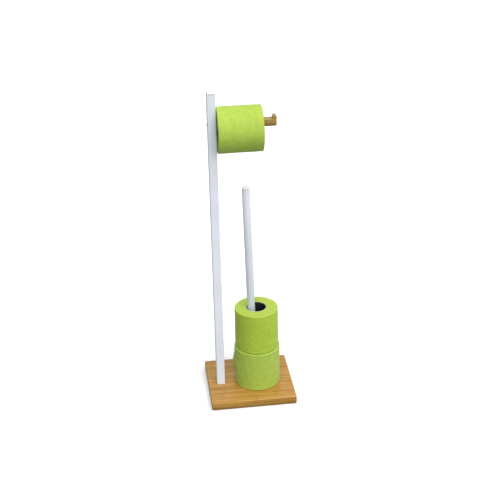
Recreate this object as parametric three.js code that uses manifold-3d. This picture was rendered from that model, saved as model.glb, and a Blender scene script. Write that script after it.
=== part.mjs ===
// A free-standing toilet brush holder with a roll arm and two spare rolls, in millimetres, +Z up.
// The origin is the middle of the base on the floor; the arm points to +X and the front faces -Y.
import * as THREE from "three";
import { mergeVertices } from "three/addons/utils/BufferGeometryUtils.js";
import Module from "manifold-3d";

const wasm = await Module();
wasm.setup();

// Driving dimensions of the stand
const HEIGHT = 746;
const PLATE_WIDTH = 200, PLATE_DEPTH = 190, PLATE_THICK = 19;
const PLATE_CORNER = 3, PLATE_EDGE = 1.5;
const FOOT_RADIUS = 9, FOOT_HEIGHT = 1.5, FOOT_INSET = 20;
const MIDLINE_Y = -5; // the post, the arm and the cup stand on one line across the base
const POST_X = -70.4, POST_WIDTH = 19, POST_WALL = 1.2, POST_CORNER = 1.5;
const POST_POCKET = 4; // depth of the socket in the base
const INSERT_HEIGHT = 25, INSERT_GRIP = 17.5; // the screw's length inside the post's foot plug
const STACK_X = 18.7;

// Rolls
const ROLL_WIDTH = 98, UPPER_WIDTH = 100, ROLL_EDGE = 1.8;
const HANGING_RADIUS = 51, UPPER_RADIUS = 50.8, LOWER_RADIUS = 53.6;
const CORE_INNER = 23, CORE_WALL = 1.3;
const HANGING_AXIS_Z = 658.4, HANGING_GAP = 0.8; // the gap is to the post's side

// Arm
const ARM_TOP_ABOVE_AXIS = 21.1; // the roll's core hangs on the arm's two top edges
const ARM_HEIGHT = 15.6, ARM_DEPTH = 18, ARM_LENGTH = 130.5, ARM_EDGE = 0.8;
const LUG_THICK = 8, LUG_RISE = 6.7;

// Cup and brush
const CUP_OUTER = 22, CUP_WALL = 1, CUP_FLOOR = 8, CUP_SCREW_COVER = 1.5, CUP_BELOW_STACK = 1.6;
const HANDLE_RADIUS = 9, HANDLE_WALL = 1, HANDLE_LEAN = THREE.MathUtils.degToRad(1.3);
const HANDLE_ABOVE_MOUTH = 304.7, HANDLE_BELOW_MOUTH = 102, HANDLE_CAP = 3;

// Fixings
const SHAFT_RADIUS = 2.5, HEAD_RADIUS = 4.6, HEAD_HEIGHT = 3, HEAD_ROUND = 1;
const WASHER_RADIUS = 6.5, WASHER_THICK = 1.2;
const COUNTERBORE_RADIUS = 7.5, COUNTERBORE_DEPTH = 6;
const ARM_SCREW_LENGTH = 52, ARM_SCREW_SHAFT = 2.2, ARM_SCREW_HEAD = 1.0, ARM_SCREW_ROUND = 0.6;
const PIN_RADIUS = 2, PIN_LENGTH = 14, PIN_OFFSET = 5.5;

const GAP = 0.3; // between touching pieces
const FINE = 48, COARSE = 24; // sides of large and small round pieces
const EPS = 1; // how far a cutting tool passes the face it cuts

// Heights and places that follow from them
const PLATE_TOP = FOOT_HEIGHT + PLATE_THICK;
const CAP_BAND = 6.5;
const POST_BOTTOM = PLATE_TOP - POST_POCKET;
const POST_TOP = HEIGHT - CAP_BAND;
const LOWER_ROLL_Z = PLATE_TOP + GAP;
const UPPER_ROLL_Z = LOWER_ROLL_Z + ROLL_WIDTH + GAP;
const STACK_TOP = UPPER_ROLL_Z + UPPER_WIDTH;
const MOUTH_Z = STACK_TOP - CUP_BELOW_STACK;
const POST_SIDE = POST_X + POST_WIDTH / 2;
const ARM_TOP = HANGING_AXIS_Z + ARM_TOP_ABOVE_AXIS;
const ARM_MID_Z = ARM_TOP - ARM_HEIGHT / 2;
const CUP_INNER = CUP_OUTER - CUP_WALL;
const HANDLE_OFFSET = CUP_INNER - HANDLE_RADIUS - GAP; // the handle leans on the cup's left rim

// Materials
const material = (color, roughness, metalness = 0) =>
  new THREE.MeshStandardMaterial({ color, roughness, metalness });
const bamboo = material("#c49a55", 0.5);
const whiteCoat = material("#e4e8ee", 0.4);
const whitePlastic = material("#f1f4f5", 0.35);
const steel = material("#8f9296", 0.35, 1);
const blackPlastic = material("#15171c", 0.5);
const greenPaper = material("#a9c84a", 0.9);
const cardboard = material("#cdbf9f", 0.9);
const rubber = material("#3a3a3c", 0.85);
const bristle = material("#dfe3e6", 0.6);

// Solid helpers

function solid(geometry) {
  const bare = geometry.clone();
  bare.deleteAttribute("normal");
  bare.deleteAttribute("uv");
  const merged = mergeVertices(bare, 1e-4);
  const vertProperties = new Float32Array(merged.attributes.position.array);
  const triVerts = new Uint32Array(merged.index.array);
  return new wasm.Manifold(new wasm.Mesh({ numProp: 3, vertProperties, triVerts }));
}

function geometryOf(manifold) {
  const { vertProperties, triVerts } = manifold.getMesh();
  const geometry = new THREE.BufferGeometry();
  geometry.setAttribute("position", new THREE.BufferAttribute(vertProperties, 3));
  geometry.setIndex(new THREE.BufferAttribute(triVerts, 1));
  const flat = geometry.toNonIndexed();
  flat.computeVertexNormals();
  return flat;
}

const cut = (geometry, tools) =>
  geometryOf(tools.reduce((whole, tool) => whole.subtract(solid(tool)), solid(geometry)));
const join = (geometries) =>
  geometryOf(geometries.slice(1).reduce((whole, g) => whole.add(solid(g)), solid(geometries[0])));

// A profile of [radius, height] points turned round the Z axis.
function turned(points, sides = FINE) {
  const profile = points.map(([radius, height]) => new THREE.Vector2(radius, height));
  return new THREE.LatheGeometry(profile, sides).rotateX(Math.PI / 2);
}

// A quarter circle from angle a0 to a1 degrees, as [radius, height] points.
function arc(cx, cy, r, a0, a1, steps = 3) {
  return Array.from({ length: steps + 1 }, (_, i) => {
    const a = THREE.MathUtils.degToRad(a0 + ((a1 - a0) * i) / steps);
    return [cx + r * Math.cos(a), cy + r * Math.sin(a)];
  });
}

// A straight tube whose long edges may be rounded, from z = 0 to height.
function ring(inner, outer, height, edge = 0, sides = FINE) {
  const outside = edge
    ? [...arc(outer - edge, edge, edge, -90, 0), ...arc(outer - edge, height - edge, edge, 0, 90)]
    : [[outer, 0], [outer, height]];
  return turned([[inner, 0], ...outside, [inner, height], [inner, 0]], sides);
}

function rod(radius, height, sides = COARSE) {
  return new THREE.CylinderGeometry(radius, radius, height, sides)
    .rotateX(Math.PI / 2)
    .translate(0, 0, height / 2);
}

const alongX = (geometry) => geometry.rotateY(Math.PI / 2);

function roundedRectangle(width, depth, radius) {
  const x = width / 2 - radius, y = depth / 2 - radius;
  const shape = new THREE.Shape();
  shape.absarc(x, y, radius, 0, Math.PI / 2);
  shape.absarc(-x, y, radius, Math.PI / 2, Math.PI);
  shape.absarc(-x, -y, radius, Math.PI, 1.5 * Math.PI);
  shape.absarc(x, -y, radius, 1.5 * Math.PI, 2 * Math.PI);
  return shape;
}

// An upright block of the given outline, with its edges rounded by `edge` at both ends.
function block(width, depth, height, corner, edge = 0) {
  return new THREE.ExtrudeGeometry(roundedRectangle(width - 2 * edge, depth - 2 * edge, corner), {
    depth: height - 2 * edge,
    curveSegments: 4,
    bevelEnabled: edge > 0,
    bevelThickness: edge,
    bevelSize: edge,
    bevelSegments: 2,
  }).translate(0, 0, edge);
}

const stand = new THREE.Group();

function add(parent, name, geometry, look, x = 0, y = 0, z = 0) {
  const mesh = new THREE.Mesh(geometry, look);
  mesh.name = name;
  mesh.position.set(x, y, z);
  parent.add(mesh);
  return mesh;
}

// Base plate: a socket for the post and two counterbored screw holes from below

function basePlate() {
  const screwHole = (x) => [
    rod(SHAFT_RADIUS + GAP, PLATE_THICK + 2 * EPS).translate(x, MIDLINE_Y, -EPS),
    rod(COUNTERBORE_RADIUS, COUNTERBORE_DEPTH + EPS).translate(x, MIDLINE_Y, -EPS),
  ];
  const pocketWidth = POST_WIDTH + 2 * GAP;
  const socket = block(pocketWidth, pocketWidth, POST_POCKET + EPS, POST_CORNER)
    .translate(POST_X, MIDLINE_Y, PLATE_THICK - POST_POCKET);
  const board = block(PLATE_WIDTH, PLATE_DEPTH, PLATE_THICK, PLATE_CORNER, PLATE_EDGE);
  return cut(board, [socket, ...screwHole(POST_X), ...screwHole(STACK_X)]);
}

add(stand, "base_plate", basePlate(), bamboo, 0, 0, FOOT_HEIGHT);

for (const [side, x] of [["left", -1], ["right", 1]]) {
  for (const [end, y] of [["front", -1], ["back", 1]]) {
    const pad = rod(FOOT_RADIUS, FOOT_HEIGHT);
    const px = x * (PLATE_WIDTH / 2 - FOOT_INSET), py = y * (PLATE_DEPTH / 2 - FOOT_INSET);
    add(stand, `foot_${end}_${side}`, pad, rubber, px, py, 0);
  }
}

// Fixings from below: a pan head with a cross recess, pointing up, on a washer

function crossRecess(size, depth) {
  const slotWidth = size / 5;
  const slot = () => new THREE.BoxGeometry(size, slotWidth, depth);
  return [slot(), slot().rotateZ(Math.PI / 2)];
}

function machineScrew(length) {
  const chamfer = 1, end = HEAD_HEIGHT + length;
  const shape = turned([
    [0, 0], ...arc(HEAD_RADIUS - HEAD_ROUND, HEAD_ROUND, HEAD_ROUND, -90, 0),
    [HEAD_RADIUS, HEAD_HEIGHT], [SHAFT_RADIUS, HEAD_HEIGHT], [SHAFT_RADIUS, end - chamfer],
    [SHAFT_RADIUS - chamfer, end], [0, end],
  ], COARSE);
  return cut(shape, crossRecess(HEAD_RADIUS * 1.1, HEAD_HEIGHT));
}

function fixing(name, x, topZ) {
  const washerZ = FOOT_HEIGHT + COUNTERBORE_DEPTH - WASHER_THICK;
  const washer = ring(SHAFT_RADIUS + GAP, WASHER_RADIUS, WASHER_THICK, 0, COARSE);
  add(stand, `${name}_washer`, washer, steel, x, MIDLINE_Y, washerZ);
  const screw = machineScrew(topZ - washerZ);
  add(stand, `${name}_screw`, screw, steel, x, MIDLINE_Y, washerZ - HEAD_HEIGHT);
}

// Post: a square tube with a threaded plug in its foot and a plastic plug on top

function post() {
  const length = POST_TOP - POST_BOTTOM;
  const inner = POST_WIDTH - 2 * POST_WALL;
  const tube = cut(block(POST_WIDTH, POST_WIDTH, length, POST_CORNER), [
    block(inner, inner, length + 2 * EPS, POST_CORNER / 2).translate(0, 0, -EPS),
  ]);
  const screwZ = ARM_MID_Z - POST_BOTTOM;
  const across = alongX(rod(ARM_SCREW_SHAFT + GAP, POST_WIDTH + 2 * EPS))
    .translate(-POST_WIDTH / 2 - EPS, 0, screwZ);
  const pinHole = alongX(rod(PIN_RADIUS + GAP, POST_WIDTH / 2 + EPS)).translate(0, PIN_OFFSET, screwZ);
  return cut(tube, [across, pinHole]);
}

function postInsert(width, height) {
  const bore = rod(SHAFT_RADIUS + GAP, height + 2 * EPS).translate(0, 0, -EPS);
  return cut(block(width, width, height, POST_CORNER / 2), [bore]);
}

function postCap(plugWidth) {
  const plugLength = 12, edge = 0.8;
  return join([
    block(POST_WIDTH, POST_WIDTH, CAP_BAND, POST_CORNER, edge),
    block(plugWidth, plugWidth, plugLength + EPS, POST_CORNER / 2).translate(0, 0, -plugLength),
  ]);
}

const plugWidth = POST_WIDTH - 2 * POST_WALL - 2 * GAP;
add(stand, "post", post(), whiteCoat, POST_X, MIDLINE_Y, POST_BOTTOM);
add(stand, "post_cap", postCap(plugWidth), whitePlastic, POST_X, MIDLINE_Y, POST_TOP);
const insert = postInsert(plugWidth, INSERT_HEIGHT);
add(stand, "post_insert", insert, blackPlastic, POST_X, MIDLINE_Y, POST_BOTTOM);
fixing("post", POST_X, POST_BOTTOM + INSERT_GRIP);

// Arm: one bar with an upturned lug, bored for its screw and pin

function rollArm() {
  const w = ARM_LENGTH - ARM_EDGE, lug = w - LUG_THICK + 2 * ARM_EDGE;
  const bottom = -ARM_HEIGHT / 2 + ARM_EDGE, top = ARM_HEIGHT / 2 - ARM_EDGE;
  const side = new THREE.Shape();
  side.moveTo(ARM_EDGE, bottom);
  side.lineTo(w, bottom);
  side.lineTo(w, top + LUG_RISE);
  side.lineTo(lug, top + LUG_RISE);
  side.lineTo(lug, top);
  side.lineTo(ARM_EDGE, top);
  const bar = new THREE.ExtrudeGeometry(side, {
    depth: ARM_DEPTH - 2 * ARM_EDGE,
    bevelThickness: ARM_EDGE,
    bevelSize: ARM_EDGE,
    bevelSegments: 2,
  }).rotateX(Math.PI / 2).translate(0, ARM_DEPTH / 2 - ARM_EDGE, 0);
  const screwBore = alongX(rod(ARM_SCREW_SHAFT + GAP, ARM_SCREW_LENGTH)).translate(-EPS, 0, 0);
  const pinBore = alongX(rod(PIN_RADIUS + GAP, PIN_LENGTH)).translate(-EPS, PIN_OFFSET, 0);
  return cut(bar, [screwBore, pinBore]);
}

// A wood screw along +X from the underside of its pan head
function armScrew() {
  const tip = 6, crownRadius = HEAD_RADIUS - ARM_SCREW_ROUND, rim = ARM_SCREW_HEAD - ARM_SCREW_ROUND;
  const shape = alongX(turned([
    [0, -ARM_SCREW_HEAD], [crownRadius, -ARM_SCREW_HEAD],
    ...arc(crownRadius, -rim, ARM_SCREW_ROUND, -90, 0), [HEAD_RADIUS, 0], [ARM_SCREW_SHAFT, 0],
    [ARM_SCREW_SHAFT, ARM_SCREW_LENGTH - tip], [0, ARM_SCREW_LENGTH],
  ], COARSE));
  const recess = crossRecess(HEAD_RADIUS, ARM_SCREW_HEAD);
  return cut(shape, recess.map((slot) => alongX(slot).translate(-ARM_SCREW_HEAD, 0, 0)));
}

add(stand, "roll_arm", rollArm(), bamboo, POST_SIDE, MIDLINE_Y, ARM_MID_Z);
add(stand, "arm_screw", armScrew(), steel, POST_X - POST_WIDTH / 2, MIDLINE_Y, ARM_MID_Z);
const pin = alongX(rod(PIN_RADIUS, PIN_LENGTH));
add(stand, "arm_pin", pin, steel, POST_SIDE - POST_WALL - GAP, MIDLINE_Y + PIN_OFFSET, ARM_MID_Z);

// Cup: a slim closed tube with a thick floor that takes its screw

function cup() {
  const height = MOUTH_Z - PLATE_TOP, lip = CUP_WALL / 2, bore = SHAFT_RADIUS + GAP;
  return turned([
    [0, CUP_FLOOR - 1], [bore, CUP_FLOOR - 1], [bore, 0], [CUP_OUTER, 0],
    ...arc(CUP_OUTER - lip, height - lip, lip, 0, 180, 4),
    [CUP_INNER, CUP_FLOOR], [0, CUP_FLOOR],
  ]);
}

add(stand, "brush_cup", cup(), blackPlastic, STACK_X, MIDLINE_Y, PLATE_TOP);
fixing("cup", STACK_X, PLATE_TOP + CUP_FLOOR - CUP_SCREW_COVER);

// Rolls: a card core inside wound paper

function roll(name, radius, width, turn = (geometry) => geometry) {
  const group = new THREE.Group();
  const coreOuter = CORE_INNER + CORE_WALL;
  add(group, `${name}_core`, turn(ring(CORE_INNER, coreOuter, width)), cardboard);
  const paper = ring(coreOuter + GAP, radius, width, ROLL_EDGE);
  add(group, `${name}_paper`, turn(paper), greenPaper);
  stand.add(group);
  return group;
}

roll("hanging", HANGING_RADIUS, ROLL_WIDTH, alongX)
  .position.set(POST_SIDE + HANGING_GAP, MIDLINE_Y, HANGING_AXIS_Z);
roll("upper", UPPER_RADIUS, UPPER_WIDTH).position.set(STACK_X, MIDLINE_Y, UPPER_ROLL_Z);
roll("lower", LOWER_RADIUS, ROLL_WIDTH).position.set(STACK_X, MIDLINE_Y, LOWER_ROLL_Z);

// Brush: built along its own leaning axis, with z = 0 at the cup's mouth

function brush() {
  const group = new THREE.Group();
  group.position.set(STACK_X - HANDLE_OFFSET, MIDLINE_Y, MOUTH_Z);
  group.rotation.y = -HANDLE_LEAN;

  const tubeTop = HANDLE_ABOVE_MOUTH - HANDLE_CAP - GAP;
  const plug = HANDLE_RADIUS - HANDLE_WALL - GAP;
  const tube = ring(HANDLE_RADIUS - HANDLE_WALL, HANDLE_RADIUS, tubeTop + HANDLE_BELOW_MOUTH);
  add(group, "brush_handle", tube, whiteCoat, 0, 0, -HANDLE_BELOW_MOUTH);

  const capPlug = 12, capEdge = 0.8;
  add(group, "handle_cap", turned([
    [0, -capPlug], [plug, -capPlug], [plug, 0], [HANDLE_RADIUS, 0],
    ...arc(HANDLE_RADIUS - capEdge, HANDLE_CAP - capEdge, capEdge, 0, 90), [0, HANDLE_CAP],
  ]), whitePlastic, 0, 0, tubeTop + GAP);

  // Stem, from its threaded stub up to its plug in the handle
  const stub = 12, neck = 6, flare = 2, shoulder = 6, stemPlug = 14;
  const stubRadius = 3.7, coreRadius = 6, stemTop = neck + shoulder;
  add(group, "head_stem", turned([
    [0, -stub], [stubRadius, -stub], [stubRadius, 0], [coreRadius, 0], [coreRadius, neck],
    [HANDLE_RADIUS, neck + flare], [HANDLE_RADIUS, stemTop], [plug, stemTop],
    [plug, stemTop + stemPlug], [0, stemTop + stemPlug],
  ], COARSE), blackPlastic, 0, 0, -HANDLE_BELOW_MOUTH - GAP - stemTop);

  // Head: a bored core, seven rows of bristles round it and a short end tuft
  const coreTop = -HANDLE_BELOW_MOUTH - 2 * GAP - stemTop, coreLength = 68, coreRound = 2;
  const boreDepth = stub + 1;
  add(group, "head_core", turned([
    [0, -coreLength], ...arc(coreRadius - coreRound, coreRound - coreLength, coreRound, -90, 0),
    [coreRadius, 0],
    [stubRadius + GAP, 0], [stubRadius + GAP, -boreDepth], [0, -boreDepth],
  ], COARSE), blackPlastic, 0, 0, coreTop);

  const rows = 7, pitch = 8.4, topRadius = 11.2, bottomRadius = 12.5, valley = 1.6, slope = pitch / 4;
  const bristleInner = coreRadius + GAP;
  const outline = [[bristleInner, 0]];
  for (let row = 0; row < rows; row += 1) {
    const radius = THREE.MathUtils.lerp(bottomRadius, topRadius, row / (rows - 1));
    const z = row * pitch;
    outline.push([radius - valley, z], [radius, z + slope], [radius, z + pitch - slope]);
  }
  const headHeight = rows * pitch;
  outline.push([topRadius - valley, headHeight], [bristleInner, headHeight], [bristleInner, 0]);
  const bareEnd = 3; // the core below the lowest row
  const headBottom = coreTop - coreLength + bareEnd;
  add(group, "bristles_side", turned(outline, COARSE), bristle, 0, 0, headBottom);

  const tuftLength = 4.5, tuftRadius = 9, taperIn = 2.5, taperUp = 2;
  add(group, "bristles_end", turned([
    [0, 0], [tuftRadius - taperIn, 0], [tuftRadius, taperUp], [tuftRadius, tuftLength], [0, tuftLength],
  ], COARSE), bristle, 0, 0, coreTop - coreLength - GAP - tuftLength);
  return group;
}

stand.add(brush());

export default stand;
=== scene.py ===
"""Looks for a free-standing toilet brush holder with a roll arm and two spare rolls.

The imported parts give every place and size; the pieces built here stand for them in metres, +Z up,
with the arm along +X and the front facing -Y.
"""
import math
import random

import bpy
from mathutils import Matrix, Vector, noise


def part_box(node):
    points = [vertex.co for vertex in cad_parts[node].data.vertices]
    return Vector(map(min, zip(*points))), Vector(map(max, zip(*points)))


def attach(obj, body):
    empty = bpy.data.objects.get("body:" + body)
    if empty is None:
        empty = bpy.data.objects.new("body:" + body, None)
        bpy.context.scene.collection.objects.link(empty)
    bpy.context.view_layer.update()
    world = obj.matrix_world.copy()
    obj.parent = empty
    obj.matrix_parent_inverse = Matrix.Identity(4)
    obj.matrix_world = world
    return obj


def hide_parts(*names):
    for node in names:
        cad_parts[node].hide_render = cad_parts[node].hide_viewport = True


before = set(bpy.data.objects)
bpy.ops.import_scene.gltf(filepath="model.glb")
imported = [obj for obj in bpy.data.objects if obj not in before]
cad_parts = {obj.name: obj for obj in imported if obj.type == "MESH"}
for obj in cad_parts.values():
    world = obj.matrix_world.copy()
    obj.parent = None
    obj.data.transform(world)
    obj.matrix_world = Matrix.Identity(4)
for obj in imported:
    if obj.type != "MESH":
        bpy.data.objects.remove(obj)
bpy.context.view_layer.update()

MM = 0.001
TURN = 2 * math.pi
FINE_SIDES, SMALL_SIDES = 96, 40
SHARP_ANGLE = math.radians(40)

STAND, HANGING, BRUSH, UPPER, LOWER = "stand", "hanging_roll", "brush", "upper_roll", "lower_roll"
HANDLE_LEAN, HANDLE_RADIUS = math.radians(1.3), 9 * MM
POST_CORNER = 1.6 * MM
BOLT_HOLE, COUNTERBORE, ARM_SCREW_HOLE, ARM_PIN_HOLE = 2.8 * MM, 7.5 * MM, 2.5 * MM, 2.3 * MM  # radii
CORE_INNER, PAPER_INNER, ROLL_RADIUS = 23 * MM, 24.35 * MM, 50 * MM
ROLL_SIDES = 256
NEAR_AXIS = 0.05 * MM  # radius of the small flat where a turned piece closes on its axis

PHOTO_AZIMUTH, PHOTO_ELEVATION, PHOTO_ROLL = -6.81, 25.98, -1.19
PHOTO_LENS = 77.0
PHOTO_CAMERA = Vector((-0.2522, -2.175, 1.4322))
LAMP_FROM, LAMP_STRENGTH, LAMP_SPREAD = (0.08, -0.62, 0.78), 3.2, math.radians(60)
LAMP_COLOUR, SKY_COLOUR = (1.0, 0.985, 0.96), (0.97, 0.985, 1.0, 1.0)
SKY_BELOW, SKY_ABOVE, SKY_LEFT, SKY_RIGHT, SKY_FRONT, SKY_BEHIND = 0.487, 0.58, 0.5, 1.5, 0.5, 1.5


# ---------------------------------------------------------------- camera and light

def photo_camera():
    """A camera at the photograph's place, direction, roll and lens."""
    azimuth, elevation, roll = map(math.radians, (PHOTO_AZIMUTH, PHOTO_ELEVATION, PHOTO_ROLL))
    back = Vector((math.sin(azimuth) * math.cos(elevation),
                   -math.cos(azimuth) * math.cos(elevation), math.sin(elevation)))
    right = (-back).cross(Vector((0, 0, 1))).normalized()
    up = back.cross(right)
    x_axis = right * math.cos(roll) + up * math.sin(roll)
    y_axis = up * math.cos(roll) - right * math.sin(roll)
    camera = bpy.data.objects.new("camera", bpy.data.cameras.new("camera"))
    camera.data.sensor_width = 36
    camera.data.lens = PHOTO_LENS
    facing = Matrix((x_axis, y_axis, back)).transposed().to_4x4()
    camera.matrix_world = Matrix.Translation(PHOTO_CAMERA) @ facing
    bpy.context.scene.collection.objects.link(camera)
    bpy.context.scene.camera = camera


def studio():
    """A broad soft lamp from the upper front, in white surroundings, brighter behind and to the right."""
    lamp = bpy.data.lights.new("soft_lamp", "SUN")
    lamp.energy, lamp.angle, lamp.color = LAMP_STRENGTH, LAMP_SPREAD, LAMP_COLOUR
    light = bpy.data.objects.new("soft_lamp", lamp)
    light.rotation_euler = Vector(LAMP_FROM).to_track_quat("Z", "Y").to_euler()
    bpy.context.scene.collection.objects.link(light)

    world = bpy.data.worlds.new("surroundings")
    world.use_nodes = True
    nodes, links = world.node_tree.nodes, world.node_tree.links
    direction = nodes.new("ShaderNodeTexCoord")
    axes = nodes.new("ShaderNodeSeparateXYZ")
    links.new(direction.outputs["Generated"], axes.inputs[0])
    strength = None
    for axis, reach, low, high in (("X", 0.8, SKY_LEFT, SKY_RIGHT), ("Y", 0.8, SKY_FRONT, SKY_BEHIND),
                                   ("Z", 0.25, SKY_BELOW, SKY_ABOVE)):
        ramp = nodes.new("ShaderNodeMapRange")
        for socket, value in zip(ramp.inputs[1:5], (-reach, reach, low, high)):
            socket.default_value = value
        links.new(axes.outputs[axis], ramp.inputs["Value"])
        product = nodes.new("ShaderNodeMath")
        product.operation = "MULTIPLY"
        product.inputs[1].default_value = 1.0
        links.new(ramp.outputs[0], product.inputs[0])
        if strength:
            links.new(strength, product.inputs[1])
        strength = product.outputs[0]
    background = nodes["Background"]
    background.inputs["Color"].default_value = SKY_COLOUR
    links.new(strength, background.inputs["Strength"])
    bpy.context.scene.world = world
    bpy.context.scene.view_settings.view_transform = "Standard"


# ---------------------------------------------------------------- materials

class Look:
    """A node material, with short calls that add nodes and return their output sockets."""

    def __init__(self, name):
        self.material = bpy.data.materials.new(name)
        self.material.use_nodes = True
        self.tree = self.material.node_tree
        self.shader = self.tree.nodes["Principled BSDF"]

    def feed(self, socket, value):
        """Links an output socket to an input socket, or sets the input to a plain value."""
        if isinstance(value, bpy.types.NodeSocket):
            self.tree.links.new(value, socket)
        else:
            socket.default_value = value

    def node(self, kind, inputs, **settings):
        """Adds a shader node, its inputs given by name or number."""
        node = self.tree.nodes.new("ShaderNode" + kind)
        for key, value in settings.items():
            setattr(node, key, value)
        for key, value in inputs.items():
            self.feed(node.inputs[key], value)
        return node

    def place(self):
        return self.node("TexCoord", {}).outputs["Object"]

    def axes(self, vector):
        return self.node("SeparateXYZ", {0: vector}).outputs[:3]

    def vector(self, x, y, z):
        return self.node("CombineXYZ", {0: x, 1: y, 2: z}).outputs[0]

    def math(self, operation, a, b=0.0):
        return self.node("Math", {0: a, 1: b}, operation=operation).outputs[0]

    def scaled(self, vector, scale):
        return self.node("VectorMath", {0: vector, 1: scale}, operation="MULTIPLY").outputs[0]

    def noise(self, vector, detail, roughness=0.5):
        inputs = {"Vector": vector, "Scale": 1.0, "Detail": detail, "Roughness": roughness}
        return self.node("TexNoise", inputs).outputs[0]

    def random(self, vector):
        return self.node("TexWhiteNoise", {"Vector": vector}).outputs["Value"]

    def range(self, value, low, high, out_low=0.0, out_high=1.0):
        """Maps low to high onto out_low to out_high, and holds the ends."""
        inputs = {"Value": value, 1: low, 2: high, 3: out_low, 4: out_high}
        return self.node("MapRange", inputs).outputs[0]

    def blend(self, factor, a, b):
        return self.node("Mix", {0: factor, 6: a, 7: b}, data_type="RGBA").outputs[2]

    def bump(self, height, distance, below=None):
        """Normals of a relief, laid over the normals of another where below is given."""
        inputs = {"Height": height, "Distance": distance}
        if below is not None:
            inputs["Normal"] = below
        return self.node("Bump", inputs).outputs[0]

    def finish(self, **inputs):
        """Sets the shader's inputs, named with _ for each space."""
        for name, value in inputs.items():
            self.feed(self.shader.inputs[name.replace("_", " ")], value)
        return self.material


def rgb(red, green, blue):
    """A colour given as 0 to 255 display values, as the linear values that shaders use."""
    def linear(value):
        value /= 255
        return value / 12.92 if value <= 0.04045 else ((value + 0.055) / 1.055) ** 2.4
    return (linear(red), linear(green), linear(blue), 1.0)


def bamboo(name, strip_width, layer_height, node, tint=(1, 1, 1)):
    """Pressed bamboo along X: strips of differing tone, fibres, cane rings, darker ends and painted shade low
    down.
    """
    look = Look(name)
    place = look.place()
    x, y, z = look.axes(place)
    layer = look.math("FLOOR", look.math("DIVIDE", z, layer_height))
    across = look.math("ADD", look.math("DIVIDE", y, strip_width), look.math("MULTIPLY", layer, 0.37))
    strip = look.math("FLOOR", across)
    tone = look.random(look.vector(strip, layer, 3.0))
    shift = look.random(look.vector(strip, layer, 9.0))

    wander = look.noise(look.scaled(place, (9, 40, 40)), detail=1)
    fibre = look.noise(look.scaled(place, (10, 850, 850)), detail=3, roughness=0.6)
    slant = look.math("ADD", y, look.math("MULTIPLY", z, 0.8))
    streak = look.noise(look.vector(look.math("MULTIPLY", x, 5.0), look.math("MULTIPLY", slant, 120),
                                    look.math("MULTIPLY", strip, 7.3)), detail=2)
    pores = look.noise(look.scaled(place, (90, 1500, 1500)), detail=1)

    # One cane ring in every 130 mm of a strip, 3 mm wide and a little raised, in a darker stretch
    along = look.math("ADD", look.math("DIVIDE", x, 130 * MM), look.math("MULTIPLY", shift, 5.0))
    along = look.math("ADD", along, look.math("MULTIPLY", wander, 0.02))
    off = look.math("ABSOLUTE", look.math("SUBTRACT", look.math("FRACT", along), 0.5))
    ring = look.range(off, 0.001, 0.011, 1.0, 0.0)
    halo = look.range(off, 0.0, 0.10, 1.0, 0.0)

    edge = look.math("ABSOLUTE", look.math("SUBTRACT", look.math("FRACT", across), 0.5))
    seam = look.range(edge, 0.488, 0.5, 0.0, 1.0)

    low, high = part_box(node)
    half = (high.x - low.x) / 2
    from_middle = look.math("ABSOLUTE", look.math("SUBTRACT", x, (low.x + high.x) / 2))
    end_grain = look.range(from_middle, half - 0.9 * MM, half - 0.1 * MM, 0.0, 0.45)
    # Painted shade: the piece darkens towards its bottom, over the 10 mm above its lowest face.
    painted_low_shade = look.range(z, low.z + 0.5 * MM, low.z + 10 * MM, 0.7, 0.0)

    pale, deep, brown = (tuple(c * t for c, t in zip(stain, tint)) + (1,)
                         for stain in (rgb(207, 164, 86), rgb(160, 112, 39), rgb(106, 67, 24)))
    colour = look.blend(look.range(streak, 0.28, 0.72), deep, pale)
    colour = look.blend(look.range(tone, 0.0, 1.0, 0.03, 0.45), colour, deep)
    colour = look.blend(look.range(fibre, 0.50, 0.72, 0.0, 0.5), colour, brown)
    colour = look.blend(look.range(pores, 0.62, 0.75, 0.0, 0.3), colour, brown)
    colour = look.blend(look.math("MULTIPLY", ring, 0.42), colour, brown)
    colour = look.blend(look.math("MULTIPLY", halo, 0.25), colour, deep)
    colour = look.blend(look.math("MULTIPLY", seam, 0.55), colour, brown)
    # The darker ends, and the painted shade low down, both blend towards brown.
    colour = look.blend(look.math("MAXIMUM", end_grain, painted_low_shade), colour, brown)

    relief = look.math("SUBTRACT", look.math("MULTIPLY", fibre, 0.25), look.math("MULTIPLY", seam, 0.7))
    relief = look.math("ADD", relief, look.math("MULTIPLY", ring, 0.5))
    return look.finish(
        Base_Color=colour,
        Roughness=look.range(fibre, 0.3, 0.8, 0.34, 0.52),
        Normal=look.bump(relief, 0.12 * MM),
        Specular_IOR_Level=0.35,
        Coat_Weight=0.08,
        Coat_Roughness=0.28,
    )


def coated(name, colour, roughness, grain, depth, coat=0.3):
    """Powder coat or moulded plastic: a fine skin and slight unevenness of tone and gloss."""
    look = Look(name)
    place = look.place()
    skin = look.noise(look.scaled(place, (grain,) * 3), detail=2)
    patch = look.noise(look.scaled(place, (18, 18, 18)), detail=3)
    darker = tuple(c * 0.93 for c in colour[:3]) + (1,)
    return look.finish(
        Base_Color=look.blend(look.range(patch, 0.3, 0.7), darker, colour),
        Roughness=look.range(patch, 0.25, 0.75, roughness - 0.05, roughness + 0.07),
        Normal=look.bump(skin, depth),
        Coat_Weight=coat,
        Coat_Roughness=0.2,
    )


def unrolled(look, centre, axis):
    """Sockets of a roll's own coordinates: distance round it, along it, and from its axis."""
    x, y, z = look.axes(look.place())
    if axis == "Z":
        across, depth, along = look.math("SUBTRACT", x, centre[0]), look.math("SUBTRACT", y, centre[1]), z
    else:
        across, depth, along = look.math("SUBTRACT", z, centre[2]), look.math("SUBTRACT", y, centre[1]), x
    radius = look.math("SQRT", look.math("ADD", look.math("MULTIPLY", across, across),
                                         look.math("MULTIPLY", depth, depth)))
    angle = look.math("ARCTAN2", across, look.math("MULTIPLY", depth, -1.0))
    return look.math("MULTIPLY", angle, ROLL_RADIUS), along, radius


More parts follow.
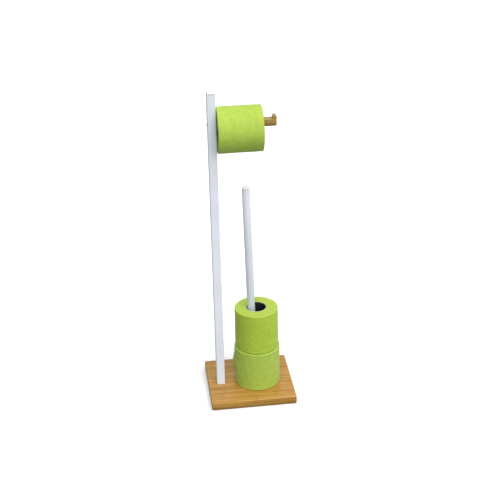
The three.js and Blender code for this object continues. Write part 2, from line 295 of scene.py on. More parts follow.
def tissue(name, centre, axis, colour):
    """Dyed crepe tissue: ridges along the roll, ribs round it, ply wrinkles, and layered end faces with
    painted shade.
    """
    look = Look(name)
    around, along, radius = unrolled(look, centre, axis)
    facing = look.axes(look.node("TexCoord", {}).outputs["Normal"])["XYZ".index(axis)]
    end_face = look.range(look.math("ABSOLUTE", facing), 0.6, 0.95)
    flat = look.vector(around, along, radius)
    crepe = look.noise(look.scaled(flat, (1500, 260, 60)), detail=3, roughness=0.65)
    wrinkle = look.noise(look.scaled(flat, (240, 40, 20)), detail=2)
    layers = look.noise(look.scaled(flat, (8, 8, 3600)), detail=2, roughness=0.7)
    bands = look.noise(look.scaled(flat, (4, 60, 700)), detail=2)
    ribs = look.noise(look.scaled(flat, (7, 330, 40)), detail=3, roughness=0.55)
    cloud = look.noise(look.scaled(look.place(), (90, 90, 90)), detail=4, roughness=0.7)

    light = tuple(min(1.0, c * 1.1) for c in colour[:3]) + (1,)
    dark = tuple(c * 0.8 for c in colour[:3]) + (1,)
    end_face_shade = tuple(c * 0.84 + 0.02 for c in colour[:3]) + (1,)
    shade = look.blend(look.range(cloud, 0.34, 0.66, 0.2, 1.0), dark, light)
    shade = look.blend(look.range(ribs, 0.35, 0.65, 0.45, 0.0), shade, dark)
    shade = look.blend(look.range(crepe, 0.35, 0.75, 0.0, 0.35), shade, dark)
    shade = look.blend(look.range(bands, 0.4, 0.7, 0.0, 0.25), shade, light)
    shade = look.blend(look.range(layers, 0.45, 0.8, 0.0, 0.3), shade, dark)
    # Painted shade: the end faces are darker and greyer than the side.
    shade = look.blend(look.math("MULTIPLY", end_face, 0.85), shade, end_face_shade)
    normal = look.bump(crepe, 0.22 * MM)
    normal = look.bump(wrinkle, 0.5 * MM, normal)
    normal = look.bump(ribs, 0.4 * MM, normal)
    normal = look.bump(layers, 0.2 * MM, normal)
    return look.finish(
        Base_Color=shade,
        Roughness=look.range(cloud, 0.2, 0.8, 0.66, 0.8),
        Normal=normal,
        Sheen_Weight=0.05,
        Sheen_Roughness=0.5,
    )


def card(name, centre, axis, rim):
    """Core board in its rim tone, with painted shade on the bore's inner wall, and a spiral joint at 60 mm a
    turn.
    """
    look = Look(name)
    around, along, radius = unrolled(look, centre, axis)
    turn = look.math("ADD", look.math("DIVIDE", around, ROLL_RADIUS * TURN),
                     look.math("DIVIDE", along, 60 * MM))
    off = look.math("ABSOLUTE", look.math("SUBTRACT", look.math("FRACT", turn), 0.5))
    joint = look.range(off, 0.0, 0.012, 1.0, 0.0)
    fleck = look.noise(look.scaled(look.place(), (900, 900, 900)), detail=4, roughness=0.7)
    colour = look.blend(look.range(fleck, 0.35, 0.7), rim, tuple(c * 0.8 for c in rim[:3]) + (1,))
    # Painted shade: the bore's inner wall is darkened along its whole length.
    painted_bore_shade = look.range(radius, CORE_INNER + 0.15 * MM, CORE_INNER + 0.35 * MM, 1.0, 0.0)
    bore_shade_tone = look.blend(look.range(fleck, 0.35, 0.7), rgb(70, 76, 58), rgb(52, 56, 42))
    colour = look.blend(painted_bore_shade, colour, bore_shade_tone)
    colour = look.blend(look.math("MULTIPLY", joint, 0.5), colour, rgb(40, 42, 32))
    relief = look.math("SUBTRACT", look.math("MULTIPLY", fleck, 0.3), joint)
    return look.finish(Base_Color=colour, Roughness=look.range(fleck, 0.2, 0.8, 0.85, 0.96),
                       Normal=look.bump(relief, 0.2 * MM))


def brushed_steel(name):
    """Dull steel with fine scratches and cloudy tarnish."""
    look = Look(name)
    scratch = look.noise(look.scaled(look.place(), (1400, 1400, 1400)), detail=3)
    tarnish = look.noise(look.scaled(look.place(), (160, 160, 160)), detail=3)
    colour = look.blend(look.range(tarnish, 0.35, 0.7), rgb(150, 152, 156), rgb(112, 113, 116))
    return look.finish(Base_Color=colour, Metallic=1.0, Roughness=look.range(scratch, 0.3, 0.7, 0.28, 0.45),
                       Normal=look.bump(scratch, 0.03 * MM))


def rubber(name):
    """Dull grey-black rubber."""
    look = Look(name)
    grain = look.noise(look.scaled(look.place(), (700, 700, 700)), detail=3)
    colour = look.blend(look.range(grain, 0.3, 0.7), rgb(48, 48, 50), rgb(66, 66, 68))
    return look.finish(Base_Color=colour, Roughness=look.range(grain, 0.3, 0.7, 0.75, 0.9),
                       Normal=look.bump(grain, 0.1 * MM))


def nylon(name):
    """White bristle plastic, slightly uneven in tone."""
    look = Look(name)
    shade = look.noise(look.scaled(look.place(), (500, 500, 90)), detail=2)
    colour = look.blend(look.range(shade, 0.3, 0.7), rgb(206, 212, 220), rgb(238, 241, 245))
    return look.finish(Base_Color=colour, Roughness=look.range(shade, 0.3, 0.7, 0.35, 0.5),
                       Normal=look.bump(shade, 0.05 * MM))


# ---------------------------------------------------------------- mesh building

def build(name, points, faces, material, place=None):
    """A mesh object, its faces wound outwards, smooth but for its sharp edges."""
    mesh = bpy.data.meshes.new(name)
    mesh.from_pydata(points, [], faces)
    mesh.validate()
    thing = bpy.data.objects.new(name, mesh)
    bpy.context.scene.collection.objects.link(thing)
    if place is not None:
        mesh.transform(place)
    mesh.materials.append(material)
    smooth(mesh)
    return thing


def smooth(mesh):
    """Smooth shading, but not across sharp edges."""
    mesh.polygons.foreach_set("use_smooth", [True] * len(mesh.polygons))
    mesh.set_sharp_from_angle(angle=SHARP_ANGLE)
    mesh.update()


def weighted(thing):
    """Flat faces next to rounded edges keep flat normals."""
    modifier = thing.modifiers.new("face_weight", "WEIGHTED_NORMAL")
    modifier.keep_sharp = True
    return thing


def settled(thing):
    """Applies the modifiers of a thing to its mesh."""
    evaluated = thing.evaluated_get(bpy.context.evaluated_depsgraph_get())
    mesh = bpy.data.meshes.new_from_object(evaluated)
    thing.modifiers.clear()
    thing.data = mesh
    return thing


def bored(thing, cutters):
    """Cuts the cutters out of a thing."""
    for cutter in cutters:
        modifier = thing.modifiers.new("bore", "BOOLEAN")
        modifier.operation, modifier.solver, modifier.object = "DIFFERENCE", "EXACT", cutter
    settled(thing)
    for cutter in cutters:
        bpy.data.objects.remove(cutter)
    smooth(thing.data)
    return thing


def circle(radius, sides=FINE_SIDES):
    return [Vector((radius * math.cos(TURN * i / sides), radius * math.sin(TURN * i / sides)))
            for i in range(sides)]


def spoke(angle, radius, height):
    """The point at an angle round Z, a radius from it and a height along it."""
    return Vector((radius * math.cos(angle), radius * math.sin(angle), height))


def ring_faces(a, b, count):
    """Faces that join two rings of points: a and b are the numbers of their first points."""
    return [(a + i, a + (i + 1) % count, b + (i + 1) % count, b + i) for i in range(count)]


def rounded_outline(corners, radius, steps=5):
    """A closed outline through straight-sided corners, each replaced by an arc."""
    outline = []
    for i, corner in enumerate(corners):
        corner = Vector(corner)
        before = (Vector(corners[i - 1]) - corner).normalized()
        after = (Vector(corners[(i + 1) % len(corners)]) - corner).normalized()
        half = before.angle(after) / 2
        centre = corner + (before + after).normalized() * radius / math.sin(half)
        start = corner + before * radius / math.tan(half) - centre
        end = corner + after * radius / math.tan(half) - centre
        sweep = start.angle_signed(end)
        for k in range(steps + 1):
            radial = start.copy()
            radial.rotate(Matrix.Rotation(-sweep * k / steps, 2))
            outline.append(centre + radial)
    return outline


def rectangle(width, depth, radius, steps=5):
    x, y = width / 2, depth / 2
    return rounded_outline([(x, y), (-x, y), (-x, -y), (x, -y)], radius, steps)


def inset(outline, distance):
    """The outline moved inwards, its corners kept."""
    moved = []
    for i, point in enumerate(outline):
        back = (point - outline[i - 1]).normalized()
        ahead = (outline[(i + 1) % len(outline)] - point).normalized()
        one, two = Vector((-back.y, back.x)), Vector((-ahead.y, ahead.x))
        moved.append(point + (one + two) * distance / (1 + one.dot(two)))
    return moved


def shrink(outline, distance):
    """The outline drawn in towards its middle, for circles and for steps wider than its corners."""
    half = max(point.x for point in outline)
    return [point * (1 - distance / half) for point in outline]


def rounded_ends(low, high, radius, steps=4):
    """Levels of (inset, height) up a side whose two ends are rounded."""
    bends = [TURN / 4 * k / steps for k in range(steps + 1)]
    start = [(radius * (1 - math.sin(a)), low + radius * (1 - math.cos(a))) for a in bends]
    end = [(radius * (1 - math.cos(a)), high - radius * (1 - math.sin(a))) for a in bends]
    return start + end


def shell(name, outline, levels, material, place=None, closed=False, narrow=inset):
    """A surface through copies of the outline, each at its (inset, height), capped or closed on itself."""
    count = len(outline)
    points = [(*p, height) for distance, height in levels for p in narrow(outline, distance)]
    faces = []
    last = len(levels) if closed else len(levels) - 1
    for k in range(last):
        faces += ring_faces(k * count, (k + 1) % len(levels) * count, count)
    if not closed:
        faces.append(tuple(reversed(range(count))))
        faces.append(tuple(range((len(levels) - 1) * count, len(levels) * count)))
    return build(name, points, faces, material, place)


def turned(name, profile, material, place=None, sides=FINE_SIDES, closed=False):
    """A shell round the Z axis from a profile of (radius, height)."""
    widest = max(radius for radius, _ in profile)
    levels = [(widest - radius, height) for radius, height in profile]
    return shell(name, circle(widest, sides), levels, material, place, closed, shrink)


def arc(centre_r, centre_z, radius, start, end, steps=5):
    """Points of (radius, height) round part of a circle, angles in degrees."""
    bends = [math.radians(start + (end - start) * k / steps) for k in range(steps + 1)]
    return [(centre_r + radius * math.cos(a), centre_z + radius * math.sin(a)) for a in bends]


def at(x, y, z):
    return Matrix.Translation((x, y, z))


ALONG_X = Matrix.Rotation(TURN / 4, 4, "Y")  # turns a piece's +Z to +X


def own(thing, body, slot, *nodes):
    """The piece rides on its body and stands for its nodes, which it hides; slot is not used."""
    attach(thing, body)
    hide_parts(*nodes)
    return thing


def middle(node):
    """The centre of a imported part's box."""
    low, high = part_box(node)
    return (low + high) / 2


# ---------------------------------------------------------------- base, feet and post

def cylinder_cutter(radius, low, high, place):
    return turned("cutter", [(radius, low), (radius, high)], wood, place, SMALL_SIDES)


def base_board():
    """The board with its socket for the post, and counterbored holes under the post and the cup."""
    low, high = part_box("base_plate")
    size = high - low
    corner, edge, clearance = 3 * MM, 2 * MM, 0.3 * MM
    board = shell("base_board", rectangle(size.x, size.y, corner, 6),
                  rounded_ends(low.z, high.z, edge, 5), wood)
    post, foot = middle("post"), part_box("post")
    cup = middle("brush_cup")
    socket = foot[1].x - foot[0].x + 2 * clearance
    cutters = [shell("cutter", rectangle(socket, socket, POST_CORNER), [(0, foot[0].z), (0, high.z + MM)],
                     wood, at(post.x, post.y, 0))]
    washer_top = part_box("post_washer")[1].z
    for x, y in ((post.x, post.y), (cup.x, cup.y)):
        cutters.append(cylinder_cutter(BOLT_HOLE, low.z - MM, high.z + MM, at(x, y, 0)))
        cutters.append(cylinder_cutter(COUNTERBORE, low.z - MM, washer_top, at(x, y, 0)))
    own(weighted(bored(board, cutters)), STAND, "bamboo", "base_plate")


def rubber_feet():
    """Round pads with a shallow dish in the face that meets the floor."""
    for corner in ("front_left", "front_right", "back_left", "back_right"):
        node = "foot_" + corner
        low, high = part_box(node)
        centre, radius, height = middle(node), (high.x - low.x) / 2, high.z - low.z
        dish, edge = 0.4 * MM, 0.5 * MM
        profile = [(0.3 * MM, dish), (radius * 0.45, dish), (radius * 0.55, 0),
                   *arc(radius - edge, edge, edge, -90, 0), (radius, height)]
        pad = turned("rubber_" + node, profile, pad_rubber, at(centre.x, centre.y, low.z), SMALL_SIDES)
        own(pad, STAND, "rubber", node)


def post_tube():
    """A square tube, drilled through for the arm's screw and on the arm's side for its pin."""
    low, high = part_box("post")
    width, wall, centre = high.x - low.x, 1.2 * MM, middle("post")
    lip = 0.3 * MM
    outer = rounded_ends(low.z, high.z, lip, 2)
    inner = [(wall, high.z), (wall, low.z)]
    tube = shell("post_tube", rectangle(width, width, POST_CORNER, 6), outer + inner, white_coat,
                 at(centre.x, centre.y, 0), closed=True)
    screw, pin = middle("arm_screw"), middle("arm_pin")
    across = at(low.x - MM, screw.y, screw.z) @ ALONG_X
    beside = at(centre.x, pin.y, pin.z) @ ALONG_X
    cutters = [cylinder_cutter(ARM_SCREW_HOLE, 0, width + 2 * MM, across),
               cylinder_cutter(ARM_PIN_HOLE, 0, width / 2 + MM, beside)]
    own(weighted(bored(tube, cutters)), STAND, "white_coat", "post")


def post_top():
    """The post's cap: a plug inside the tube, and a band above it with a rounded edge and a flat top."""
    low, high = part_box("post_cap")
    width, centre = high.x - low.x, middle("post_cap")
    band = high.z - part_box("post")[1].z
    plug, seat, crown = 1.5 * MM, high.z - band + 0.02 * MM, 3.2 * MM
    levels = [(plug + 0.6 * MM, low.z), (plug, low.z + MM), (plug, seat),
              (0.35 * MM, seat), (0, seat + 0.35 * MM)]
    levels += [(crown - d, z) for d, z in arc(0, high.z - 0.3 * MM - crown, crown, 0, 80, 8)]
    levels += [(5.5 * MM, high.z - 0.1 * MM), (8 * MM, high.z)]
    cap = shell("post_top_cap", rectangle(width, width, 2 * MM, 6), levels, white_plastic,
                at(centre.x, centre.y, 0), narrow=shrink)
    own(weighted(cap), STAND, "white_plastic", "post_cap")


def post_plug():
    """The plug in the post's lower end that takes the bolt."""
    low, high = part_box("post_insert")
    centre, width = middle("post_insert"), high.x - low.x
    plug = shell("post_plug", rectangle(width, width, 0.9 * MM), rounded_ends(low.z, high.z, 0.6 * MM, 3),
                 black_plastic, at(centre.x, centre.y, 0))
    bore = cylinder_cutter(BOLT_HOLE, low.z - MM, high.z + MM, at(centre.x, centre.y, 0))
    own(weighted(bored(plug, [bore])), STAND, "black_plastic", "post_insert")


# ---------------------------------------------------------------- arm and fixings

def arm_bar():
    """The arm with its upturned lug, bored from the post's side for its screw and pin."""
    low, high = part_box("roll_arm")
    lug_rise, lug_thick, edge, steps = 6.7 * MM, 8 * MM, 1.3 * MM, 4
    top, lug = high.z - lug_rise, high.x - lug_thick
    corners = [(low.x, low.z), (high.x, low.z), (high.x, high.z), (lug, high.z), (lug, top), (low.x, top)]
    outline = rounded_outline(corners, 1.8 * MM, 5)
    upright = Matrix.Rotation(TURN / 4, 4, "X")  # the outline's second axis becomes +Z, its depth -Y
    depth = rounded_ends(-high.y, -low.y, edge, steps)
    bar = shell("arm_bar", outline, depth, arm_wood, upright)
    screw, pin = middle("arm_screw"), middle("arm_pin")
    screw_depth, pin_depth = 41 * MM, 13 * MM
    cutters = [cylinder_cutter(ARM_SCREW_HOLE, -MM, screw_depth, at(low.x, screw.y, screw.z) @ ALONG_X),
               cylinder_cutter(ARM_PIN_HOLE, -MM, pin_depth, at(low.x, pin.y, pin.z) @ ALONG_X)]
    own(weighted(bored(bar, cutters)), STAND, "bamboo", "roll_arm")


def thread(shaft, tooth, length, pitch, sides):
    """Points and faces of a helical thread on a shaft, as rings whose radius follows the helix."""
    rows_per_turn = 6
    rows = max(2, round(length / pitch * rows_per_turn))
    points, faces = [], []
    for k in range(rows + 1):
        height = length * k / rows
        run_out = min(1.0, k / rows_per_turn, (rows - k) / rows_per_turn)
        for i in range(sides):
            phase = (height / pitch - i / sides) % 1.0
            radius = shaft + (tooth - shaft) * run_out * max(0.0, 1 - abs(phase - 0.5) * 4)
            points.append(spoke(TURN * i / sides, radius, height))
    for k in range(rows):
        faces += ring_faces(k * sides, (k + 1) * sides, sides)
    return points, faces


def screw(name, head, length, shaft, tooth, pitch, tip, place):
    """A pan head below z = 0 with a cross recess, and a threaded shaft above it with a conical tip."""
    radius, height = head
    sides = 24
    points, faces = thread(shaft, tooth, length - tip, pitch, sides)
    end = len(points) - sides
    profile = [(radius, 0), *arc(radius - height * 0.6, -height * 0.4, height * 0.6, 0, -90),
               (0.4 * MM, -height)]
    upper = 0
    for ring_radius, z in profile:
        lower = len(points)
        points += [spoke(TURN * i / sides, ring_radius, z) for i in range(sides)]
        faces += ring_faces(lower, upper, sides)
        upper = lower
    faces.append(tuple(reversed(range(lower, lower + sides))))
    points.append((0, 0, length))
    faces += [(end + i, end + (i + 1) % sides, len(points) - 1) for i in range(sides)]
    made = build(name, points, faces, steel, place)
    recess = rectangle(radius * 1.15, radius * 0.24, 0.2 * MM, 2)
    slots = [shell("cutter", recess, [(0, -height - MM), (0, -height * 0.45)], steel,
                   place @ Matrix.Rotation(turn, 4, "Z")) for turn in (0, TURN / 4)]
    return bored(made, slots)


def fixings():
    """The two bolts and washers under the base, and the arm's wood screw and dowel pin."""
    for name in ("post", "cup"):
        low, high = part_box(name + "_screw")
        centre = middle(name + "_screw")
        head_height = 3 * MM
        made = screw(name + "_bolt", ((high.x - low.x) / 2, head_height), high.z - low.z - head_height,
                     2.05 * MM, 2.5 * MM, 0.9 * MM, MM, at(centre.x, centre.y, low.z + head_height))
        own(made, STAND, "steel", name + "_screw")
        low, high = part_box(name + "_washer")
        inner, outer, bevel = BOLT_HOLE, (high.x - low.x) / 2, 0.2 * MM
        profile = [(inner, low.z), (outer - bevel, low.z), (outer, low.z + bevel), (outer, high.z - bevel),
                   (outer - bevel, high.z), (inner, high.z)]
        ring = turned(name + "_washer_ring", profile, steel, at(centre.x, centre.y, 0), SMALL_SIDES, True)
        own(ring, STAND, "steel", name + "_washer")

    low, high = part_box("arm_screw")
    centre, head_height = middle("arm_screw"), MM
    place = at(low.x + head_height, centre.y, centre.z) @ ALONG_X
    made = screw("arm_wood_screw", ((high.z - low.z) / 2, head_height), high.x - low.x - head_height,
                 1.5 * MM, 2.2 * MM, 2.0 * MM, 6 * MM, place)
    own(made, STAND, "steel", "arm_screw")

    low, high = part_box("arm_pin")
    centre, radius = middle("arm_pin"), (high.z - low.z) / 2
    pin = shell("arm_dowel_pin", circle(radius, SMALL_SIDES), rounded_ends(0, high.x - low.x, 0.6 * MM, 3),
                steel, at(low.x, centre.y, centre.z) @ ALONG_X)
    own(pin, STAND, "steel", "arm_pin")


# ---------------------------------------------------------------- cup and brush

def cup_liner():
    """The brush's cup: a thin wall with a rounded lip, and a thick floor with a blind hole for its bolt."""
    low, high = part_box("brush_cup")
    centre, outer = middle("brush_cup"), (high.x - low.x) / 2
    wall, lip, hollow = MM, 0.5 * MM, 4 * MM
    inner, floor = outer - wall, low.z + 8 * MM
    profile = [(NEAR_AXIS, floor - wall), (BOLT_HOLE, floor - wall), (BOLT_HOLE, low.z), (outer - MM, low.z),
               (outer, low.z + MM), (outer, high.z - lip), *arc(outer - lip, high.z - lip, lip, 0, 180, 8),
               (inner, floor + hollow), *arc(inner - hollow, floor + hollow, hollow, 0, -90, 6),
               (NEAR_AXIS, floor)]
    cup = turned("cup_liner", profile, black_plastic, at(centre.x, centre.y, 0))
    own(cup, STAND, "black_plastic", "brush_cup")


def brush_place():
    """The brush's own axis: z = 0 at the handle tube's lower end, leaning to -X."""
    low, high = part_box("brush_handle")
    lean = Matrix.Rotation(-HANDLE_LEAN, 4, "Y")
    foot_x = high.x - HANDLE_RADIUS * math.cos(HANDLE_LEAN)
    foot_z = low.z + HANDLE_RADIUS * math.sin(HANDLE_LEAN)
    return at(foot_x, middle("brush_handle").y, foot_z) @ lean


def brush_handle(place):
    """The handle's tube, and the cap plugged into its top."""
    low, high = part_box("brush_handle")
    radius, wall = HANDLE_RADIUS, MM
    tilt = 2 * radius * math.sin(HANDLE_LEAN)
    length = (high.z - low.z - tilt) / math.cos(HANDLE_LEAN)
    lip = 0.25 * MM
    profile = [(radius - inset_by, height) for inset_by, height in rounded_ends(0, length, lip, 2)]
    profile += [(radius - wall, length), (radius - wall, 0)]
    tube = turned("handle_tube", profile, handle_coat, place, closed=True)
    own(tube, BRUSH, "white_coat", "brush_handle")

    cap_top = (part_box("handle_cap")[1].z - low.z - tilt) / math.cos(HANDLE_LEAN)
    plug, edge, seat = radius - wall - 0.2 * MM, 0.6 * MM, length + 0.08 * MM
    profile = [(NEAR_AXIS, length - 12 * MM), (plug - 0.6 * MM, length - 12 * MM), (plug, length - 11 * MM),
               (plug, seat), (radius - 0.25 * MM, seat), (radius, seat + 0.25 * MM),
               *arc(radius - edge, cap_top - edge - 0.15 * MM, edge, 0, 80, 6),
               (radius * 0.5, cap_top - 0.03 * MM), (NEAR_AXIS, cap_top)]
    own(turned("handle_top", profile, white_plastic, place), BRUSH, "white_plastic", "handle_cap")


# Heights on the brush's axis, below the handle tube's lower end, and the head's radii
STEM_TOP, STEM_SHOULDER, CORE_TOP, CORE_FOOT = -0.3 * MM, -12.3 * MM, -12.6 * MM, -80.6 * MM
CORE_RADIUS, BRISTLE_RADIUS = 6 * MM, 0.22 * MM


def stem_adapter(place):
    """Joins the tube to the head: a plug, a collar, a waist, and a stub that enters the head's core."""
    plug, stub, waist = 7.8 * MM, 3.7 * MM, 3.2 * MM
    plug_top, stub_end = 14 * MM, STEM_SHOULDER - 12 * MM
    profile = [(NEAR_AXIS, stub_end), (stub - 0.5 * MM, stub_end), (stub, stub_end + MM),
               (stub, STEM_SHOULDER), (CORE_RADIUS, STEM_SHOULDER), (CORE_RADIUS, STEM_SHOULDER + 5 * MM),
               *arc(CORE_RADIUS + waist, STEM_SHOULDER + 5 * MM, waist, 180, 100, 6),
               (HANDLE_RADIUS, STEM_TOP - 3.5 * MM), (HANDLE_RADIUS, STEM_TOP - 0.3 * MM),
               (HANDLE_RADIUS - 0.3 * MM, STEM_TOP), (plug, STEM_TOP), (plug, plug_top - MM),
               (plug - MM, plug_top), (NEAR_AXIS, plug_top)]
    own(turned("stem_adapter", profile, black_plastic, place), BRUSH, "black_plastic", "head_stem")


def head_core(place):
    """The rod that holds the bristles, with a round foot and a socket for the adapter's stub."""
    foot, edge, socket = 2 * MM, 0.5 * MM, 4 * MM
    socket_floor = CORE_TOP - 13 * MM
    profile = [(NEAR_AXIS, CORE_FOOT), (CORE_RADIUS - foot, CORE_FOOT),
               *arc(CORE_RADIUS - foot, CORE_FOOT + foot, foot, -90, 0), (CORE_RADIUS, CORE_TOP - edge),
               (CORE_RADIUS - edge, CORE_TOP), (socket, CORE_TOP), (socket, socket_floor),
               (NEAR_AXIS, socket_floor)]
    core = turned("brush_head_core", profile, black_plastic, place, SMALL_SIDES)
    own(core, BRUSH, "black_plastic", "head_core")


def side_tufts(place):
    """Rows of tufts round the core, each row half a step on from the last, and shorter towards the top."""
    rng = random.Random(5)
    points, faces = [], []
    rows, tufts, strands = 8, 9, 16
    for row in range(rows):
        share = (row + 0.5) / rows
        height = CORE_FOOT + (5 + 57 * share) * MM
        reach = (12.3 - 1.2 * share) * MM
        for k in range(tufts):
            angle = TURN * (k + 0.5 * (row % 2)) / tufts
            for _ in range(strands):
                root = Vector((angle + rng.uniform(-0.07, 0.07), height + rng.uniform(-0.8, 0.8) * MM))
                tip = Vector((root.x + rng.uniform(-0.22, 0.22), root.y + rng.uniform(-2.4, 2.4) * MM))
                start = spoke(root.x, CORE_RADIUS - 0.5 * MM, root.y)
                needle(points, faces, start, spoke(tip.x, reach - rng.uniform(0, 0.5) * MM, tip.y))
    own(build("bristle_tufts", points, faces, bristle, place), BRUSH, "bristle", "bristles_side")


def end_tuft(place):
    """Bristles that fan out below the core, spread evenly by the golden angle."""
    count, root_spread, tip_spread, golden_turn = 70, 3.6 * MM, 8 * MM, 0.381966
    points, faces = [], []
    for k in range(count):
        angle, out = TURN * golden_turn * k, math.sqrt((k + 0.5) / count)
        root = spoke(angle, root_spread * out, CORE_FOOT + 0.5 * MM)
        needle(points, faces, root, spoke(angle, tip_spread * out, CORE_FOOT - (4.4 - 1.6 * out) * MM))
    own(build("end_tuft", points, faces, bristle, place), BRUSH, "bristle", "bristles_end")


def needle(points, faces, start, end):
    """Adds one four-sided bristle, a little thinner at its end."""
    sides = 4
    axis = (end - start).normalized()
    one = axis.orthogonal().normalized()
    two = axis.cross(one)
    first = len(points)
    for centre, radius in ((start, BRISTLE_RADIUS), (end, BRISTLE_RADIUS * 0.7)):
        for i in range(sides):
            a = TURN * i / sides
            points.append(centre + (one * math.cos(a) + two * math.sin(a)) * radius)
    second = first + sides
    faces += ring_faces(first, second, sides)
    faces.append(tuple(reversed(range(first, second))))
    faces.append(tuple(range(second, second + sides)))


# ---------------------------------------------------------------- rolls

def round_part(node, axis):
    """The length, outer radius and place of a round part whose axis is X or Z."""
    low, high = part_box(node)
    centre = middle(node)
    if axis == "Z":
        return high.z - low.z, (high.x - low.x) / 2, at(centre.x, centre.y, low.z)
    return high.x - low.x, (high.z - low.z) / 2, at(low.x, centre.y, centre.z) @ ALONG_X


def roll_profile(radius, width, edge):
    """Points of (radius, height, zone) round a roll's section: bottom face, side, top face, bore."""
    rings, bands = 30, 64
    reach = radius - edge - PAPER_INNER
    face = [PAPER_INNER + reach * k / rings for k in range(rings)]
    bottom = [(r, 0.0, "face") for r in face]
    corner = [(r, z, "edge") for r, z in arc(radius - edge, edge, edge, -90, 0, 7)]
    side = [(radius, edge + (width - 2 * edge) * k / bands, "side") for k in range(1, bands)]
    top_corner = [(r, z, "edge") for r, z in arc(radius - edge, width - edge, edge, 0, 90, 7)]
    top = [(r, width, "face") for r in reversed(face)]
    bore = [(PAPER_INNER, width * (1 - k / 8), "bore") for k in range(1, 8)]
    return bottom + corner + side + top_corner + top + bore


def wound_paper(node, axis, seed, tail, edge):
    """A wound roll: soft uneven side, crimped lines near its ends, a glued tail, and layered end faces."""
    width, radius, place = round_part(node, axis)
    rng = random.Random(seed)
    sheet, layers = 0.4 * MM, 40
    relief = [rng.uniform(0, 0.3) * MM for _ in range(64)]
    profile = roll_profile(radius, width, edge)
    points, faces = [], []
    offset = Vector((seed * 3.7, seed * 1.9, seed * 5.3))
    for i in range(ROLL_SIDES):
        angle = TURN * i / ROLL_SIDES
        out = spoke(angle, 1, 0)
        wind = sheet * ((angle - tail) % TURN) / TURN
        for r, z, zone in profile:
            share = (r - PAPER_INNER) / (radius - PAPER_INNER)
            soft = noise.noise(out * 1.6 + Vector((0, 0, z / (40 * MM))) + offset)
            dent = noise.noise(out * 5 + Vector((0, 0, z / (9 * MM))) + offset)
            if zone in ("side", "edge"):
                r -= (0.35 * soft + 0.12 * dent) * MM + wind
                if zone == "side":
                    r -= crimp(min(z, width - z))
            elif zone == "face":
                wobble = 0.6 * noise.noise(out * 1.5 + offset)
                step = relief[int((share * layers + wobble) % len(relief))] + (0.15 + 0.15 * soft) * MM
                z += step if z < width / 2 else -step
                r -= wind * share
            points.append((r * out.x, r * out.y, z))
    count = len(profile)
    for i in range(ROLL_SIDES):
        a, b = i * count, (i + 1) % ROLL_SIDES * count
        faces += [(a + k, b + k, b + (k + 1) % count, a + (k + 1) % count) for k in range(count)]
    return points, faces, place


def crimp(from_end):
    """Depth of the two pressed lines that hold the plies together near each end of a roll."""
    deepest, half_width = 0.22 * MM, 1.6 * MM
    return max(deepest * max(0.0, 1 - abs(from_end - line) / half_width) for line in (8 * MM, 12 * MM))


def core_tube(name, node, axis, body, material):
    """A card tube with softly rounded rims."""
    length, outer, place = round_part(node, axis)
    ends = rounded_ends(0, length, 0.35 * MM, 3)
    profile = [(outer - d, z) for d, z in ends] + [(CORE_INNER + d, z) for d, z in reversed(ends)]
    own(turned(name, profile, material, place, closed=True), body, "core_card", node)


def loose_tail(paper):
    """The lower roll's loose outer sheet: it lifts off the side and bulges, most at its torn lower corner."""
    low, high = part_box("lower_paper")
    radius, rng = (high.x - low.x) / 2, random.Random(11)
    start, end = math.radians(222), math.radians(150)  # glued edge and free edge, round the roll
    across, up, thick, sunk, tooth = 44, 40, 0.3 * MM, 0.35 * MM, 0.4 * MM
    top, bulge_height, curl_height = high.z - 4 * MM, low.z + 54 * MM, low.z + 52 * MM
    points = []
    for side in (0, 1):
        for j in range(up + 1):
            rise = j / up
            for i in range(across + 1):
                share = i / across
                hang = min(1.0, max(0.0, (share - 0.7) / 0.16)) ** 2
                ragged = 1.5 * math.sin(9 * share) + rng.uniform(-0.3, 0.3)
                # The torn edge climbs away from the glued side, and its free corner hangs back down
                torn = low.z + (24 + 18 * share - 24 * hang + ragged) * MM
                z = torn + (top - torn) * rise
                bulge = 6.0 * math.exp(-((z - bulge_height) / (17 * MM)) ** 2)
                curl = 4.5 * hang * min(1.0, max(0.0, (curl_height - z) / (14 * MM)))
                crease = 0.4 * (1 + math.sin(11 * rise + 3 * share)) * share * (1 - rise)
                lift = (max(bulge, curl) + crease) * MM * share ** 1.5
                lift -= sunk * (1 - share * (1 - rise)) ** 3
                perforation = tooth * (j % 2) / radius if i == across else 0.0
                angle = start + (end - start) * share + perforation + 0.02 * share * (1 - rise)
                points.append(spoke(angle, radius + lift + thick * side, z))
    count, row = (up + 1) * (across + 1), across + 1
    faces = []
    for j in range(up):
        for i in range(across):
            a = j * row + i
            faces.append((a, a + 1, a + row + 1, a + row))
            faces.append((count + a + row, count + a + row + 1, count + a + 1, count + a))
    rim = list(range(across)) + [j * row + across for j in range(up)]
    rim += [up * row + i for i in range(across, 0, -1)] + [j * row for j in range(up, 0, -1)]
    faces += [(count + a, count + b, b, a) for a, b in zip(rim, rim[1:] + rim[:1])]
    centre = middle("lower_paper")
    tail = build("lower_loose_tail", points, faces, paper, at(centre.x, centre.y, 0))
    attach(tail, LOWER)


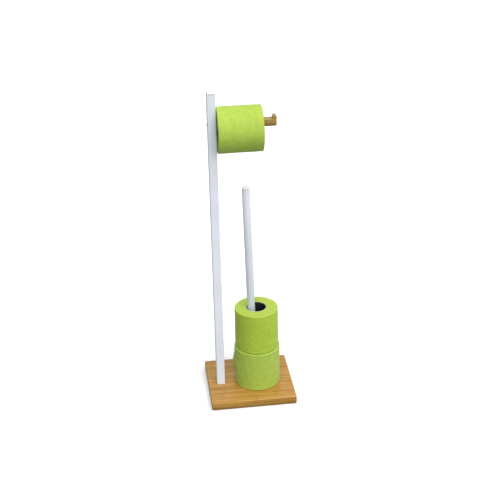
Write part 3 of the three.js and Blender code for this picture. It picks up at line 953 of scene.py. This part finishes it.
def rolls():
    """Each roll's paper and core; tail is the angle of its glued end, edge the rounding of its paper."""
    for title, axis, body, seed, tail, edge, green, rim in (
            # The hanging roll's dark core tone is painted shade for the gap beside the post; the other cores
            # keep the board's pale tone.
            ("hanging", "X", HANGING, 2, 1.2, 1.1 * MM, rgb(172, 200, 72), rgb(112, 114, 92)),
            ("upper", "Z", UPPER, 7, 0.9, 2 * MM, rgb(172, 199, 58), rgb(206, 206, 170)),
            ("lower", "Z", LOWER, 4, math.radians(188), 2 * MM, rgb(171, 197, 77), rgb(206, 206, 170))):
        centre = middle(title + "_paper")
        paper = tissue(title + "_tissue", centre, axis, green)
        points, faces, place = wound_paper(title + "_paper", axis, seed, tail, edge)
        roll = build(title + "_roll_paper", points, faces, paper, place)
        own(roll, body, "green_paper", title + "_paper")
        board = card(title + "_card", centre, axis, rim)
        core_tube(title + "_roll_core", title + "_core", axis, body, board)
        if title == "lower":
            loose_tail(paper)


# ---------------------------------------------------------------- floor

def pale_floor():
    """A floor that bends up into a wall all round, far off."""
    look = Look("pale_floor")
    speck = look.noise(look.scaled(look.place(), (3, 3, 3)), detail=2)
    look.finish(Base_Color=look.blend(look.range(speck, 0.3, 0.7), rgb(250, 250, 250), rgb(252, 252, 252)),
                Roughness=0.95, Specular_IOR_Level=0.0)
    reach, bend, wall = 9.0, 3.0, 9.0
    profile = [(reach + bend, wall), *arc(reach, bend, bend, 0, -90, 24), (10 * MM, 0)]
    sweep = turned("floor", profile, look.material)
    # The dimmer sky below stands in for its bounce, and the lights shine through its wall
    sweep.visible_diffuse = sweep.visible_glossy = sweep.visible_shadow = False


# ---------------------------------------------------------------- the scene

photo_camera()
studio()

wood = bamboo("bamboo_board", 19.5 * MM, 6.4 * MM, "base_plate")
arm_wood = bamboo("bamboo_arm", 9 * MM, 7.8 * MM, "roll_arm", (0.82, 1.0, 1.35))
white_coat = coated("white_powder_coat", rgb(230, 236, 247), 0.52, 900, 0.04 * MM, 0.0)
handle_coat = coated("handle_coat", rgb(216, 222, 232), 0.5, 900, 0.04 * MM, 0.0)
white_plastic = coated("white_plastic", rgb(222, 225, 229), 0.34, 500, 0.02 * MM)
black_plastic = coated("black_plastic", rgb(17, 24, 22), 0.45, 700, 0.04 * MM, 0.1)
steel = brushed_steel("screw_steel")
pad_rubber = rubber("pad_rubber")
bristle = nylon("bristle_nylon")

base_board()
rubber_feet()
post_tube()
post_top()
post_plug()
arm_bar()
fixings()
cup_liner()
brush = brush_place()
for make in (brush_handle, stem_adapter, head_core, side_tufts, end_tuft):
    make(brush)
rolls()
pale_floor()
